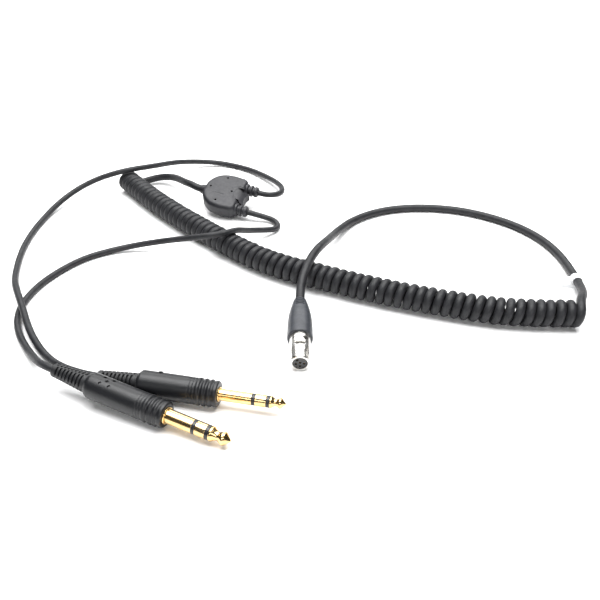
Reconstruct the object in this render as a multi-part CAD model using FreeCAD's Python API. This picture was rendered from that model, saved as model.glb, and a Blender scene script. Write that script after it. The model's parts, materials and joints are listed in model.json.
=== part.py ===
import FreeCAD, Part
import math
import os

from FreeCAD import Placement, Rotation, Vector

# The down-lead of an aviation headset, lying on a flat surface at z = 0, in millimetres.
# A five-contact connector, a straight lead, a curly cord and a short lead come to a moulded
# junction. From there two thinner leads run to a headphone plug and to a microphone plug.
# The origin is on the surface, at the middle of the box round the plugs, junction and connector.

# ---- cords ----
MAIN_D = 4.6                # jacket of the cord from the connector to the junction
LEAD_D = 3.5                # jacket of each plug lead
COIL_D = 14.3               # outside of the curly cord
FLOOR_GAP = 0.05            # a lying cord's clearance from the surface
MAIN_Z = MAIN_D / 2 + FLOOR_GAP
LEAD_Z = LEAD_D / 2 + FLOOR_GAP
COIL_Z = COIL_D / 2
ARC_SHARE = 0.45            # part of the shorter run that each corner's arc takes up

# ---- plugs, each along its own +x, from the front face of the handle, its shoulder ----
HANDLE_R = 5.85
RIB_R = 6.1                 # the three ribs that the plug rests on
LAST_RIB_X = -2.95          # front edge of the last rib
RELIEF_L = 18.5             # strain relief behind the handle
COLLAR_T = 0.5
HEADPHONE = {
    "name": "headphone",
    "shoulder": (-3.8, -99.4),
    "heading": -25.0,
    "dip": 4.0,             # nose down, because the two leads lift its rear
    "handle_l": 39.6,
    "rear_r": 5.1,
    "relief_r": (3.0, 4.35),    # at the cord, at the handle
    "metal_r": 6.35 / 2,
    "metal_l": 30.2,
    "bands": (13.0, 14.6, 19.3, 20.9),
}
MICROPHONE = {
    "name": "microphone",
    "shoulder": (16.5, -86.6),
    "heading": -12.3,
    "dip": 0.0,
    "handle_l": 36.9,
    "rear_r": 4.6,
    "relief_r": (2.9, 4.1),
    "metal_r": 5.23 / 2,
    "metal_l": 29.4,
    "bands": (14.7, 16.2, 21.0, 22.5),
}

# ---- connector, along its own +x, from the rear of the boot to the nose ----
CONNECTOR_L = 45.0
SHELL_R = 4.95
SHELL_TAIL_R = 4.5          # inside the boot
SHELL_NOSE_R = 4.75         # in front of the latch window
SHELL_BORE_R = 3.6
SHELL_REAR = 20.0
SHELL_STEP = 41.0
SHELL_RIM = 43.9            # where the nose starts to round off
BOOT_R = 6.1
BOOT_L = 28.5
SCREW_X = 31.9
SCREW_ANGLE = 34.0          # from the top, beside the latch
CONTACT_RING_R = 2.0
CONTACT_R = 0.8
SOCKET_R = 0.5
NOSE = (51.0, -64.1)
CONNECTOR_HEADING = -90.0
CONNECTOR_DIP = 5.0         # nose down, because the lead lifts its rear
LATCH_PIN_X = 36.5
LATCH_PIN_Z = 4.2
LATCH_PIN_R = 0.3
LATCH_PLAY = 0.05           # radial running clearance on the pin

# ---- junction, along its own +x, from the inlet to the two outlets ----
JUNCTION_CENTRE = (3.0, 98.5, 10.4)
JUNCTION_HEADING = -20.0
JUNCTION_TILT = 20.0        # far edge up, because the stiff leads lift it
JUNCTION_T = 10.8
JUNCTION_INLET_X = -16.0
JUNCTION_OUTLET_X = 19.5
JUNCTION_OUTLET_Y = 8.9
JUNCTION_CORE = (-8.0, 7.0, 11.4, 3.3)  # rear x, front x, half width, half thickness


def frame_at(x, y, z, heading, dip=0.0):
    """A placement whose own +x points along heading, then dips below the horizontal."""
    turn = Rotation(Vector(0, 0, 1), heading) * Rotation(Vector(0, 1, 0), dip)
    return Placement(Vector(x, y, z), turn)


def plug_frame(plug):
    """The plug rests on its last rib."""
    dip = math.radians(plug["dip"])
    x, y = plug["shoulder"]
    z = RIB_R * math.cos(dip) + LAST_RIB_X * math.sin(dip)
    return frame_at(x, y, z, plug["heading"], plug["dip"])


def connector_frame():
    """The nose's lower edge rests on the surface and the rear is higher."""
    dip = math.radians(CONNECTOR_DIP)
    back = CONNECTOR_L * math.cos(dip)
    z = SHELL_NOSE_R * math.cos(dip) + SHELL_RIM * math.sin(dip)
    return frame_at(NOSE[0], NOSE[1] + back, z, CONNECTOR_HEADING, CONNECTOR_DIP)


def junction_frame():
    turn = Rotation(Vector(1, 0, 0), JUNCTION_TILT) * Rotation(Vector(0, 0, 1), JUNCTION_HEADING)
    return Placement(Vector(*JUNCTION_CENTRE), turn)


HEADPHONE_FRAME = plug_frame(HEADPHONE)
MICROPHONE_FRAME = plug_frame(MICROPHONE)
HEADPHONE_TAIL = -HEADPHONE["handle_l"] - RELIEF_L      # rear end of the strain relief
MICROPHONE_TAIL = -MICROPHONE["handle_l"] - RELIEF_L
CONNECTOR = connector_frame()
JUNCTION = junction_frame()


def point_on(frame, x, y=0.0, z=0.0):
    """A point of a piece's own frame, as a rounded route point."""
    p = frame.multVec(Vector(x, y, z))
    return (round(p.x, 2), round(p.y, 2), round(p.z, 2))


# ---- routes: the centre line's corner points, on the surface unless a third number is given ----
COIL_ROUTE = [
    (-66, 130), (-47, 103.5), (-22, 74), (4, 47), (31, 21.5),
    (62, 5.5), (93, -8.5), (126, -20), (158, -28.5), (191, -28.1),
]

CONNECTOR_ROUTE = [
    (184.5, -28.3, COIL_Z), (192, -17, 6.4), (197, -1.5, 5), (199.8, 16.5, 3.6), (199.6, 34.5),
    (195.4, 52), (187, 67.3), (174, 80.5), (156, 91.5), (136, 96.5), (115, 96),
    (97, 89.5), (83, 78, 2.6), (74, 64.5, 4.5), (67.5, 50, 9), (62.5, 35, 15),
    (58.8, 20, 21.3), (54.5, 4.5, 21.3), point_on(CONNECTOR, -9.5), point_on(CONNECTOR, 0),
]

JUNCTION_ROUTE = [
    (-63.1, 125.9, COIL_Z), (-58.5, 133.5, 6.8), (-50.5, 137.5, 6.4), (-41.5, 137, 6.8),
    (-35, 131.1, 8.2), (-29.5, 123.5, 10.2), (-25, 115, 12.2), (-21, 109.3, 13),
    point_on(JUNCTION, JUNCTION_INLET_X - 5), point_on(JUNCTION, JUNCTION_INLET_X),
]

HEADPHONE_ROUTE = [
    point_on(JUNCTION, JUNCTION_OUTLET_X, -JUNCTION_OUTLET_Y),
    point_on(JUNCTION, JUNCTION_OUTLET_X + 6, -JUNCTION_OUTLET_Y),
    (29.3, 81.7, 3.6), (33.6, 79.9, 3), (36.5, 76.1, 2.6), (37.4, 71.3, 2.5), (36.3, 66.5, 2.8),
    (33, 61.5, 4.5), (25.3, 54.9, 10.5),
    (16, 46.5, 19.6), (6.5, 37.5, 19.6), (-7, 34, 16), (-19.5, 36.5, 12.5), (-32, 41, 8.5),
    (-44.5, 44, 5), (-58, 43.5, 2.4), (-71.5, 34.5), (-82, 20.5), (-89.2, 5.5), (-92.3, -10.5),
    (-90.8, -25), (-85.5, -38), (-78.8, -48.5, 2.4), (-72.6, -57.5, 4.8), (-67.3, -65.5, 7.8),
    point_on(HEADPHONE_FRAME, HEADPHONE_TAIL - 6), point_on(HEADPHONE_FRAME, HEADPHONE_TAIL),
]

MICROPHONE_ROUTE = [
    point_on(JUNCTION, JUNCTION_OUTLET_X, JUNCTION_OUTLET_Y),
    point_on(JUNCTION, JUNCTION_OUTLET_X + 4, JUNCTION_OUTLET_Y),
    (32.8, 99, 9.8), (36.8, 101.4, 9), (39.4, 105.9, 8.2), (40.4, 111.9, 7.3),
    (39.2, 119.8, 6.4), (34.8, 130.5, 5),
    (27, 143, 3.6), (16.5, 155.5, 2.4), (2, 164.5), (-13, 167.5, 3.4), (-27, 161.5, 7),
    (-38.5, 150, 11), (-47, 136, 15.5), (-54.5, 126, 19.6), (-66, 120.5, 19.6),
    (-78, 119, 14), (-89.5, 116, 9.5), (-99, 107.5, 6), (-105.5, 95.5, 3), (-109, 81),
    (-110.6, 65), (-110.4, 48), (-108, 30.5), (-104, 13.5, 3.2), (-98.5, -1, 8.9),
    (-88.5, -20.5, 8.9), (-81.5, -35, 5), (-75, -45, 3.4), (-69, -53, 3),
    (-62.5, -60, 3.4), (-55, -66, 4.2), (-48, -70.5, 5.2),
    point_on(MICROPHONE_FRAME, MICROPHONE_TAIL - 5), point_on(MICROPHONE_FRAME, MICROPHONE_TAIL),
]

LABEL_Y = (4.5, 11.0)       # the stretch of the connector lead that the label is wrapped round
LABEL_T = 0.3


# ---- plain shapes, along +x ----
def turned(profile):
    """A solid of revolution about x, from (x, radius) points."""
    points = [Vector(x, 0, r) for x, r in profile]
    face = Part.Face(Part.makePolygon(points + points[:1]))
    return face.revolve(Vector(0, 0, 0), Vector(1, 0, 0), 360)


def rod(x0, x1, r, y=0.0, z=0.0):
    return Part.makeCylinder(r, x1 - x0, Vector(x0, y, z), Vector(1, 0, 0))


def tube(x0, x1, r_out, r_in, y=0.0, z=0.0):
    return rod(x0, x1, r_out, y, z).cut(rod(x0 - 1, x1 + 1, r_in, y, z))


def block(x0, x1, y0, y1, z0, z1):
    return Part.makeBox(x1 - x0, y1 - y0, z1 - z0, Vector(x0, y0, z0))


def strand(start, end, r):
    """A straight wire between two points."""
    a = Vector(*start)
    b = Vector(*end)
    return Part.makeCylinder(r, (b - a).Length, a, b - a)


def spoke(x, angle, r0, r1, r):
    """A round pin standing out from the axis, angle degrees from the top towards +y."""
    turn = math.radians(angle)
    out = Vector(0, math.sin(turn), math.cos(turn))
    return Part.makeCylinder(r, r1 - r0, Vector(x, 0, 0) + out * r0, out)


def save(name, frame, *solids):
    """One node: its solids, moved from the piece's own frame to the row's."""
    shape = solids[0] if len(solids) == 1 else Part.makeCompound(list(solids))
    placed = shape.copy()
    placed.Placement = frame.multiply(placed.Placement)
    if not placed.isValid():
        print("not valid:", name)
    placed.exportStep(f"parts/{name}.step")
    return placed


# ---- cords ----
def route_points(route, z):
    return [Vector(p[0], p[1], p[2] if len(p) > 2 else z) for p in route]


def route_wire(points):
    """Straight runs joined by arcs that touch them. Also gives the arcs' radii."""
    edges = []
    radii = []
    last = points[0]
    for before, corner, after in zip(points, points[1:], points[2:]):
        back = before - corner
        on = after - corner
        reach = ARC_SHARE * min(back.Length, on.Length)
        back.normalize()
        on.normalize()
        half = (math.pi - back.getAngle(on)) / 2
        radius = reach / math.tan(half)
        inward = (back + on).normalize()
        middle = corner + inward * radius * (1 / math.cos(half) - 1)
        start = corner + back * reach
        end = corner + on * reach
        edges.append(Part.LineSegment(last, start).toShape())
        edges.append(Part.Arc(start, middle, end).toShape())
        radii.append(radius)
        last = end
    edges.append(Part.LineSegment(last, points[-1]).toShape())
    return Part.Wire(edges), radii


def cord_tube(name, route, z, diameter):
    """A round cord along its route, with its volume compared to section times length."""
    points = route_points(route, z)
    wire, radii = route_wire(points)
    ring = Part.Circle(points[0], points[1] - points[0], diameter / 2).toShape()
    solid = wire.makePipeShell([Part.Wire(ring)], True, False)
    ideal = math.pi * diameter ** 2 / 4 * wire.Length
    shortest = min(radii)
    print(f"{name}: {wire.Length:.1f} mm long, tightest arc {shortest:.1f} mm,"
          f" {shortest / diameter:.1f} diameters, volume {solid.Volume / ideal:.4f} of ideal")
    print("   radii", " ".join(f"{r:.0f}" for r in radii))
    return solid


def build_cords():
    here = Placement()
    coil = cord_tube("coil_cord", COIL_ROUTE, COIL_Z, COIL_D)
    lead = cord_tube("connector_lead", CONNECTOR_ROUTE, MAIN_Z, MAIN_D)
    wrap = cord_tube("cable_label", CONNECTOR_ROUTE, MAIN_Z, MAIN_D + 2 * LABEL_T)
    tail = cord_tube("junction_lead", JUNCTION_ROUTE, MAIN_Z, MAIN_D)
    save("coil_cord", here, coil)
    save("connector_lead", here, lead.cut(coil))
    save("junction_lead", here, tail.cut(coil))
    save("headphone_lead", here, cord_tube("headphone_lead", HEADPHONE_ROUTE, LEAD_Z, LEAD_D))
    save("microphone_lead", here, cord_tube("microphone_lead", MICROPHONE_ROUTE, LEAD_Z, LEAD_D))
    y0, y1 = LABEL_Y
    stretch = block(180, 210, y0, y1, -5, 20)
    flag = block(189.5, 196.5, y0 + 0.6, y1 - 0.6, 4.0, 4.4)
    save("cable_label", here, wrap.common(stretch).fuse(flag).cut(lead).removeSplitter())


# ---- plugs ----
def strain_relief(rear, radii, lead_r):
    """A tapered sleeve whose slots are staggered between its four quarters."""
    spigot_r = 3.4
    lip_r = 4.4
    tail = rear - RELIEF_L
    taper = (radii[1] - radii[0]) / RELIEF_L
    body = turned([
        (tail, lead_r), (tail, radii[0]), (rear, radii[1]), (rear, spigot_r),
        (rear + 6, spigot_r), (rear + 6, lip_r), (rear + 7.5, lip_r), (rear + 7.5, lead_r),
    ])
    half_pitch = 0.95
    slot = 0.85
    depth = 0.8
    spine = 0.7
    reach = 2 * radii[1]
    for index in range(17):
        x = tail + 1.7 + index * half_pitch
        floor_r = radii[0] + taper * (x - tail) - depth
        ring = turned([(x, floor_r), (x, reach), (x + slot, reach), (x + slot, floor_r + taper * slot)])
        side = 1 if index % 2 else -1
        for up in (1, -1):
            y0, y1 = sorted((side * up * spine / 2, side * up * reach))
            z0, z1 = sorted((up * spine / 2, up * reach))
            body = body.cut(ring.common(block(x, x + slot, y0, y1, z0, z1)))
    return body


def plug_handle(rear, rear_r, neck_r):
    """The moulded handle: a chamfered rear, a long barrel, ribs near the front, and a cavity."""
    valley_r = HANDLE_R - 0.35
    outer = [(rear, rear_r), (rear + 2.3, HANDLE_R)]
    for x in (-12.4, -11.0):
        outer += [(x - 0.35, HANDLE_R), (x, HANDLE_R - 0.12), (x + 0.35, HANDLE_R)]
    outer.append((-9.5, HANDLE_R))
    for index in range(3):
        x = LAST_RIB_X - 2.5 * (2 - index)
        outer += [(x - 1.0, RIB_R), (x, RIB_R), (x + 0.5, valley_r), (x + 1.0, valley_r)]
    outer += [(-1.5, HANDLE_R - 0.15), (-0.6, HANDLE_R - 0.15), (0, 5.1)]
    inner = [(0, neck_r), (-2.5, neck_r), (-2.5, 4.2), (-6.5, 4.2), (-6.5, 4.6),
             (rear + 6, 4.6), (rear + 6, 3.4), (rear, 3.4)]
    return turned(outer + inner)


def with_dimples(body, x):
    """Five shallow round pits, as on a die, mark the headphone plug."""
    for dx, angle in ((0, 0), (-2.3, -20), (-2.3, 20), (2.3, -20), (2.3, 20)):
        body = body.cut(spoke(x + dx, angle, HANDLE_R - 0.6, HANDLE_R + 1, 0.75))
    return body


def with_nub(body, x):
    """One low round nub marks the microphone plug."""
    return body.fuse(spoke(x, 27, HANDLE_R - 0.5, HANDLE_R + 0.5, 0.85))


def plug_tip(rod_r, metal_r, start, end):
    """The rod through the plug and the shaped tip: flange, waist, shoulder and cone."""
    length = end - start
    waist = 0.6
    head = [(0.0, 1.0), (0.10, 1.0), (0.34, waist), (0.42, waist), (0.62, 0.90), (0.70, 0.88),
            (0.93, 0.30), (1.0, 0.12)]
    profile = [(-14.5, 0.0), (-14.5, rod_r), (start, rod_r)]
    for share, size in head:
        profile.append((start + share * length, size * metal_r))
    return turned(profile + [(end, 0.0)])


def build_plug(plug, frame, mark):
    """The bands are how far the sleeve, insulator, ring and insulator reach from the shoulder."""
    name = plug["name"]
    metal_r = plug["metal_r"]
    rear = -plug["handle_l"]
    lead_r = LEAD_D / 2
    neck_r = metal_r - 0.4
    rod_r, film_r, ring_r, sleeve_bore = [k * metal_r for k in (0.283, 0.394, 0.551, 0.677)]
    x_sleeve, x_rear, x_ring, x_front = plug["bands"]
    save(f"{name}_strain_relief", frame, strain_relief(rear, plug["relief_r"], lead_r))
    save(f"{name}_handle", frame, mark(plug_handle(rear, plug["rear_r"], neck_r), rear + 10.2))
    save(f"{name}_collar", frame, tube(0, COLLAR_T, metal_r + 0.6, neck_r))
    save(f"{name}_sleeve", frame, turned([
        (-6.5, sleeve_bore), (-6.5, 4.2), (-2.5, 4.2), (-2.5, neck_r), (COLLAR_T, neck_r),
        (COLLAR_T, metal_r), (x_sleeve, metal_r), (x_sleeve, sleeve_bore),
    ]))
    save(f"{name}_rear_insulator", frame, turned([
        (-8.5, ring_r), (-8.5, sleeve_bore), (x_sleeve, sleeve_bore), (x_sleeve, metal_r),
        (x_rear, metal_r), (x_rear, ring_r),
    ]))
    save(f"{name}_ring", frame, turned([
        (-10.5, film_r), (-10.5, ring_r), (x_rear, ring_r), (x_rear, metal_r), (x_ring, metal_r),
        (x_ring, film_r),
    ]))
    save(f"{name}_front_insulator", frame, turned([
        (-11.1, rod_r), (-11.1, film_r), (x_ring, film_r), (x_ring, metal_r), (x_front, metal_r),
        (x_front, rod_r),
    ]))
    save(f"{name}_tip", frame, plug_tip(rod_r, metal_r, x_front, plug["metal_l"]))
    save(f"{name}_cord_end", frame, rod(rear - RELIEF_L, rear + 10, lead_r))
    clamp = tube(rear + 7.5, rear + 10, lead_r + 0.7, lead_r)
    clamp = clamp.fuse(block(rear + 8, -6.5, -1.2, 1.2, -3.9, -3.3))
    clamp = clamp.fuse(block(rear + 8, rear + 10, -1.2, 1.2, -3.9, -lead_r - 0.2))
    clamp = clamp.cut(rod(rear + 7, rear + 11, lead_r))
    save(f"{name}_cord_clamp", frame, clamp.removeSplitter())
    tip_lug = rod(-15.1, -14.5, 1.5).fuse(block(-19.5, -15.1, -0.3, 0.3, -0.9, 0.9))
    tip_lug = tip_lug.cut(block(-20.5, -13.5, 1.05, 3, -3, 3))
    ring_lug = tube(-11.1, -10.5, 2.3, film_r).fuse(block(-17.5, -11.1, 1.1, 1.8, -0.9, 0.9))
    save(f"{name}_terminals", frame, tip_lug.removeSplitter(), ring_lug.removeSplitter())
    save(f"{name}_wires", frame, rod(rear + 10, -19.5, 0.4), rod(rear + 10, -17.5, 0.35, 1.35))


# ---- connector ----
def contact_places():
    """A centre contact, and four of five places on a ring: the gap is beside the key."""
    places = [(0.0, 0.0)]
    for angle in (128, 200, 272, 344):
        turn = math.radians(angle)
        places.append((CONTACT_RING_R * math.cos(turn), CONTACT_RING_R * math.sin(turn)))
    return places


def connector_boot():
    body = turned([
        (0, MAIN_D / 2), (0, 3.0), (1.0, 3.4), (8.5, 5.0), (12.5, 5.7), (17, BOOT_R),
        (BOOT_L - 0.4, BOOT_R), (BOOT_L, BOOT_R - 0.4), (BOOT_L, SHELL_TAIL_R),
        (SHELL_REAR, SHELL_TAIL_R),
        (SHELL_REAR, 4.2), (9, 4.2), (9, MAIN_D / 2),
    ])
    for index in range(4):
        x = 1.6 + 1.7 * index
        outer_r = 3.4 + (x - 1.0) * 1.6 / 7.5
        ring = tube(x, x + 0.75, outer_r + 2, outer_r - 0.55)
        for side in (1, -1):
            z0, z1 = sorted((side * 0.9, side * 9))
            body = body.cut(ring.common(block(x, x + 0.75, -2.5, 2.5, z0, z1)))
    return body


def connector_shell():
    body = turned([
        (SHELL_REAR, SHELL_BORE_R), (SHELL_REAR, SHELL_TAIL_R), (BOOT_L, SHELL_TAIL_R),
        (BOOT_L, SHELL_R), (SHELL_STEP, SHELL_R), (SHELL_STEP, SHELL_NOSE_R),
        (SHELL_RIM, SHELL_NOSE_R), (CONNECTOR_L - 0.5, SHELL_NOSE_R - 0.25),
        (CONNECTOR_L - 0.1, SHELL_NOSE_R - 0.65), (CONNECTOR_L, SHELL_NOSE_R - 0.95),
        (CONNECTOR_L, SHELL_BORE_R),
    ])
    body = body.cut(block(34.9, SHELL_STEP, -2.5, 2.5, 0, 9))
    body = body.cut(spoke(SCREW_X, SCREW_ANGLE, 0, 9, 1.25))
    key = block(38.5, CONNECTOR_L + 1, -0.3, 0.3, SHELL_R - 0.45, 9)
    key.rotate(Vector(0, 0, 0), Vector(1, 0, 0), -42)
    return body.cut(key).cut(latch_pin())


def latch_pin():
    return Part.makeCylinder(LATCH_PIN_R, 5.8, Vector(LATCH_PIN_X, -2.9, LATCH_PIN_Z),
                             Vector(0, 1, 0))


def connector_latch():
    """A rocker on its pin: a flat tongue with a raised button and a hooked front end."""
    tongue = block(35.3, 40.6, -2.15, 2.15, 3.72, 4.62)
    button = block(37.0, 39.2, -1.7, 1.7, 4.6, 5.1)
    boss = Part.makeCylinder(0.75, 4.3, Vector(LATCH_PIN_X, -2.15, LATCH_PIN_Z), Vector(0, 1, 0))
    hook = block(39.7, 40.6, -2.15, 2.15, 3.5, 3.8)
    body = tongue.fuse(button).fuse(boss).fuse(hook).removeSplitter()
    hole = Part.makeCylinder(LATCH_PIN_R + LATCH_PLAY, 6, Vector(LATCH_PIN_X, -3, LATCH_PIN_Z),
                             Vector(0, 1, 0))
    return body.cut(hole)


def connector_insert():
    front = CONNECTOR_L - 0.5
    body = rod(24, front, SHELL_BORE_R)
    body = body.cut(block(34.5, 41.3, -2.7, 2.7, 2.6, 9))
    body = body.cut(spoke(SCREW_X, SCREW_ANGLE, 2.7, 9, 1.25))
    for y, z in contact_places():
        body = body.cut(rod(23, front - 0.8, CONTACT_R, y, z))
        body = body.cut(rod(front - 1, front + 1, SOCKET_R + 0.1, y, z))
    return body


def build_connector():
    save("connector_boot", CONNECTOR, connector_boot())
    save("connector_shell", CONNECTOR, connector_shell())
    save("connector_insert", CONNECTOR, connector_insert())
    front = CONNECTOR_L - 0.5 - 0.8
    contacts = []
    wires = []
    for y, z in contact_places():
        contact = rod(27, front, CONTACT_R, y, z).cut(rod(34, front + 1, SOCKET_R, y, z))
        contacts.append(contact)
        wires.append(rod(16, 27, 0.4, 0.9 * y, 0.9 * z))
    save("connector_contacts", CONNECTOR, *contacts)
    save("connector_wires", CONNECTOR, *wires)
    save("connector_latch", CONNECTOR, connector_latch())
    save("connector_latch_pin", CONNECTOR, latch_pin())
    leaf = block(36.0, 40.4, -1.2, 1.2, 2.6, 2.72)
    rise = block(38.4, 39.1, -1.2, 1.2, 2.7, 3.1)
    save("connector_latch_spring", CONNECTOR, leaf.fuse(rise).removeSplitter())
    screw = spoke(SCREW_X, SCREW_ANGLE, 2.7, 3.9, 1.25)
    slot = block(SCREW_X - 1.3, SCREW_X + 1.3, -0.2, 0.2, 3.5, 6)
    slot.rotate(Vector(0, 0, 0), Vector(1, 0, 0), -SCREW_ANGLE)
    save("connector_screw", CONNECTOR, screw.cut(slot))
    save("connector_cord_end", CONNECTOR, rod(0, 16, MAIN_D / 2))
    clamp = tube(11, 14.5, MAIN_D / 2 + 0.6, MAIN_D / 2)
    for side in (1, -1):
        y0, y1 = sorted((side * (MAIN_D / 2 + 0.3), side * 3.6))
        clamp = clamp.fuse(block(12, SHELL_REAR, y0, y1, -1.0, 1.0))
    clamp = clamp.cut(rod(10, 16, MAIN_D / 2))
    save("connector_cord_clamp", CONNECTOR, clamp.removeSplitter())


# ---- junction ----
def junction_outline():
    """The plan outline, from the inlet round each side to the hollow that the web fills."""
    def arc(a, b, c):
        return Part.Arc(Vector(*a, 0), Vector(*b, 0), Vector(*c, 0)).toShape()

    def line(a, b):
        return Part.LineSegment(Vector(*a, 0), Vector(*b, 0)).toShape()

    edges = []
    for side in (1, -1):
        edges += [
            arc((-13, 3 * side), (-9.4, 10.4 * side), (-1.5, 14.2 * side)),
            arc((-1.5, 14.2 * side), (3, 14.6 * side), (7.5, 14.2 * side)),
            arc((7.5, 14.2 * side), (10.9, 13.2 * side), (12, 11.2 * side)),
            line((12, 11.2 * side), (12, 5 * side)),
        ]
    edges += [line((-13, -3), (-13, 3)), arc((12, 5), (8.8, 0), (12, -5))]
    return Part.Wire(Part.__sortEdges__(edges))


def junction_outlet(side):
    """A ribbed strain relief, moulded in one with the junction."""
    y = side * JUNCTION_OUTLET_Y
    profile = [(8.5, 0), (8.5, 3.9), (13.2, 3.8)]
    for x in (13.2, 15.9):
        profile += [(x, 2.6), (x + 1.2, 2.6), (x + 1.2, 3.6), (x + 2.7, 3.5)]
    profile[-1] = (JUNCTION_OUTLET_X, 3.1)
    solid = turned(profile + [(JUNCTION_OUTLET_X, 0)])
    solid.translate(Vector(0, y, 0))
    return solid


def build_junction():
    half = JUNCTION_T / 2
    rear, front, half_width, core_half = JUNCTION_CORE
    body = Part.Face(junction_outline()).extrude(Vector(0, 0, JUNCTION_T))
    body.translate(Vector(0, 0, -half))
    rims = [e for e in body.Edges if abs(e.BoundBox.ZLength) < 0.01]
    body = body.makeChamfer(1.0, rims)
    web = block(8, 15, -5.2, 5.2, 1 - half, half - 1)
    body = body.fuse(web.cut(Part.makeCylinder(9.4, 20, Vector(23, 0, -10))))
    for x0, z0, x1, z1, reach in ((7.5, half, 12, 2.2, 4.6), (12, 2.2, 16, -0.7, 6.0)):
        slope = Part.Face(Part.makePolygon([
            Vector(x0, -reach, half + 1), Vector(x0, -reach, z0), Vector(x1, -reach, z1),
            Vector(x1, -reach, half + 1), Vector(x0, -reach, half + 1),
        ]))
        body = body.cut(slope.extrude(Vector(0, 2 * reach, 0)))
    for side in (1, -1):
        body = body.fuse(junction_outlet(side))
    collar = turned([(JUNCTION_INLET_X, 0), (JUNCTION_INLET_X, 2.9), (-12, 3.6), (-12, 0)])
    body = body.fuse(collar).removeSplitter()

    core = block(rear, front, -half_width, half_width, -core_half, core_half)
    core = core.makeFillet(2.0, [e for e in core.Edges if e.BoundBox.ZLength > core_half])
    core = core.cut(block(5, front + 1, -4.6, 4.6, -9, 9))
    cord_ends = [rod(JUNCTION_INLET_X, rear, MAIN_D / 2)]
    for side in (1, -1):
        cord_ends.append(rod(front, JUNCTION_OUTLET_X, LEAD_D / 2, side * JUNCTION_OUTLET_Y))
    body = body.cut(core)
    for end in cord_ends:
        body = body.cut(end)
    for x, y in ((-9.0, 0), (5.4, 0), (-1.4, 10), (-1.4, -10)):
        body = body.cut(Part.makeCylinder(0.75, 3, Vector(x, y, half - 1.7), Vector(0, 0, 1)))
    save("junction_overmould", JUNCTION, body)
    save("junction_cord_ends", JUNCTION, *cord_ends)

    splices = []
    wires = []
    for inlet_y, splice_y, outlet_y in ((-1.2, -5.5, -JUNCTION_OUTLET_Y), (0, 0, None),
                                        (1.2, 5.5, JUNCTION_OUTLET_Y)):
        splice = rod(-3, 2, 0.95, splice_y)
        splices.append(splice)
        wires.append(strand((rear, inlet_y, 0), (-3, splice_y, 0), 0.4))
        if outlet_y is not None:
            wires.append(strand((2, splice_y, 0), (front, outlet_y, 0), 0.4))
    for index, wire in enumerate(wires):
        kept = wire.common(block(rear, front, -half_width, half_width, -2, 2))
        for splice in splices:
            kept = kept.cut(splice)
        wires[index] = kept
    for piece in splices + wires:
        core = core.cut(piece)
    save("junction_core", JUNCTION, core)
    save("junction_splices", JUNCTION, *splices)
    save("junction_wires", JUNCTION, *wires)


os.makedirs("parts", exist_ok=True)
build_cords()
build_plug(HEADPHONE, HEADPHONE_FRAME, with_dimples)
build_plug(MICROPHONE, MICROPHONE_FRAME, with_nub)
build_connector()
build_junction()
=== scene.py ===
import json
import math

import bmesh
import bpy
from mathutils import Matrix, Vector


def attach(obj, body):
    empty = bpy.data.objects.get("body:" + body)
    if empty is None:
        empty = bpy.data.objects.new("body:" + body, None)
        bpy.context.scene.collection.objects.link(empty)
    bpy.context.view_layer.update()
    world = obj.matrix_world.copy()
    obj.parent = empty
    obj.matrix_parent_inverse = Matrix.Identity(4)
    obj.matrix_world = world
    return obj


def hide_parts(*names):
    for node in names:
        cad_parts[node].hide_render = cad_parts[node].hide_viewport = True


# The down-lead of an aviation headset on a pale floor: a headphone plug, a microphone plug, a
# moulded junction, a curly cord and a small latching connector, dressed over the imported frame.

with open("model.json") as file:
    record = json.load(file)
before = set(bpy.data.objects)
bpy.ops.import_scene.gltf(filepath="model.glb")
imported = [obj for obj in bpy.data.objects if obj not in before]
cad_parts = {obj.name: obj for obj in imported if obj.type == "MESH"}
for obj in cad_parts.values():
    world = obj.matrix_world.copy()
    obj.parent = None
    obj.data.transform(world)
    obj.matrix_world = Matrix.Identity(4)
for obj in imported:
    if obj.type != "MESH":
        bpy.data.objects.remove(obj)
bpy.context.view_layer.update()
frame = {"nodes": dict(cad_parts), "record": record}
NODES = frame["nodes"]
MOUNTS = {mount["name"]: mount for mount in frame["record"]["mounts"]}
CORD_SET = "cord_set"
LATCH = "latch"
MM = 0.001

# ---- sizes in millimetres, the same as the CAD's ----
MAIN_R = 2.3                # jacket from the connector to the junction
LEAD_R = 1.75               # jacket of each plug lead
COIL_R = 7.15               # outside of the curly cord
HANDLE_R = 5.85
RIB_R = 6.1
LAST_RIB_X = -2.95
RELIEF_L = 18.5
HEADPHONE_L = 39.6          # the handle's length
MICROPHONE_L = 36.9
CONNECTOR_L = 45.0
SHELL_R = 4.95
SHELL_TAIL_R = 4.5
SHELL_NOSE_R = 4.75
SHELL_BORE_R = 3.6
SHELL_STEP = 41.0
BOOT_L = 28.5
JUNCTION_CENTRE = (3.0, 98.5, 10.4)
JUNCTION_HEADING = -20.0
JUNCTION_TILT = 20.0
JUNCTION_T = 10.8
JUNCTION_INLET_X = -16.0
JUNCTION_OUTLET_X = 19.5
JUNCTION_OUTLET_Y = 8.9
WINDOW_X = 34.9             # rear edge of the latch's window
SCREW_X = 31.9
SCREW_ANGLE = 34            # degrees from the top
LATCH_PIN_X = 36.5

# the middle of each mount along its own piece
HEADPHONE_MOUNT_X = 11.165
MICROPHONE_MOUNT_X = 11.845
CONNECTOR_MOUNT_X = 42.45

# ---- sizes in millimetres that only the visual model has, or that differ from the CAD's ----
COIL_PITCH = (4.66, 4.95)   # at the junction's end, at the connector's
INSULATOR_DIP = 0.05        # how much smaller the insulators' radius is than the metal's
WINDOW_HALF = 2.4
ROCKER_HALF = 2.28
JUNCTION_RIM = 2.6
JUNCTION_CROWN = 0.35
PIT_R = 0.72
PIT_DEPTH = 1.9

# the stretch of a noise texture's values that a material spreads over its whole range
NOISE_LOW = 0.35
NOISE_HIGH = 0.65


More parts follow.
